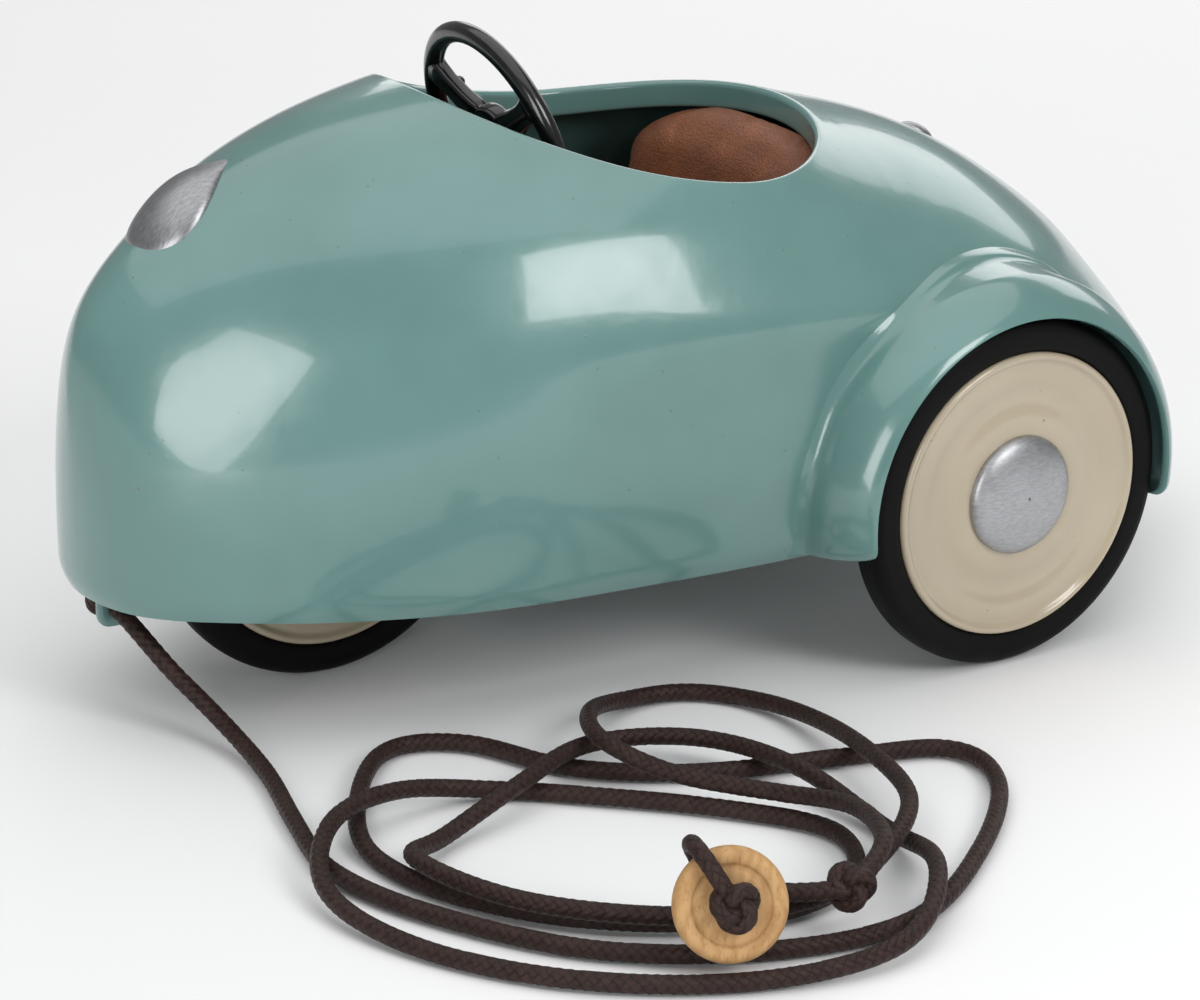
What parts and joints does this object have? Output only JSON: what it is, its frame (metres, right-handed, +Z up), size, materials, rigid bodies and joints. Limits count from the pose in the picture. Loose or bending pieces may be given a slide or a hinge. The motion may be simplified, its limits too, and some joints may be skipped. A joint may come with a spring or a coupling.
{
  "type": "toy pedal car",
  "caption": "Small pull-along toy car in pressed steel with a rounded open body, padded seat, steering wheel, rear fenders, wheels with cream discs and a pull cord with a wooden button.",
  "frame": {"origin": "on the floor under the middle of the car's length and width, the loose cord left out", "axes": "+X forward to the nose, +Y to the car's left side, +Z up"},
  "size_m": [0.1921, 0.1817, 0.0969],
  "materials": {
    "enamel": "gloss",
    "inner_paint": "satin",
    "cream": "gloss",
    "silver": "satin",
    "black_enamel": "gloss",
    "steel": "satin",
    "rubber": "matte",
    "hide": "satin",
    "cord": "satin",
    "wood": "satin"
  },
  "bodies": {
    "car": {"body_shell": "enamel", "floor_pan": "inner_paint", "front_bulkhead": "inner_paint", "left_fender": "enamel", "right_fender": "enamel", "headlamp": "silver", "tail_lamp": "silver", "tow_tab": "enamel", "seat_pan": "inner_paint", "seat_cushion": "hide", "seat_back": "hide", "column_bush": "steel", "front_hangers": "steel", "front_axle": "steel", "rear_hangers": "steel", "rear_axle": "steel", "axle_spacers": "steel", "floor_rivets": "steel", "pull_cord": "cord", "wooden_button": "wood", "tab_knot": "cord", "button_knot": "cord", "end_knot": "cord"},
    "steering": {"steering_column": "black_enamel", "steering_wheel": "black_enamel", "steering_cap": "black_enamel", "column_clips": "steel"},
    "front_wheel": {"front_tyre": "rubber", "front_left_disc": "cream", "front_right_disc": "cream", "front_bush": "steel"},
    "rear_left_wheel": {"rear_left_tyre": "rubber", "rear_left_disc": "cream", "rear_left_backplate": "cream", "rear_left_bush": "steel", "rear_left_cap": "silver"},
    "rear_right_wheel": {"rear_right_tyre": "rubber", "rear_right_disc": "cream", "rear_right_backplate": "cream", "rear_right_bush": "steel", "rear_right_cap": "silver"}
  },
  "joints": [
    {"name": "steering_turn", "type": "hinge", "parent": "car", "child": "steering", "pos_m": [0.0243, 0, 0.0792], "axis": [0.9483, 0, -0.3173], "continuous": true},
    {"name": "front_roll", "type": "hinge", "parent": "car", "child": "front_wheel", "pos_m": [0.0555, 0, 0.0275], "axis": [0, 1, 0], "continuous": true},
    {"name": "rear_left_roll", "type": "hinge", "parent": "car", "child": "rear_left_wheel", "pos_m": [-0.0355, 0.0502, 0.0275], "axis": [0, 1, 0], "continuous": true},
    {"name": "rear_right_roll", "type": "hinge", "parent": "car", "child": "rear_right_wheel", "pos_m": [-0.0355, -0.0502, 0.0275], "axis": [0, 1, 0], "continuous": true}
  ]
}
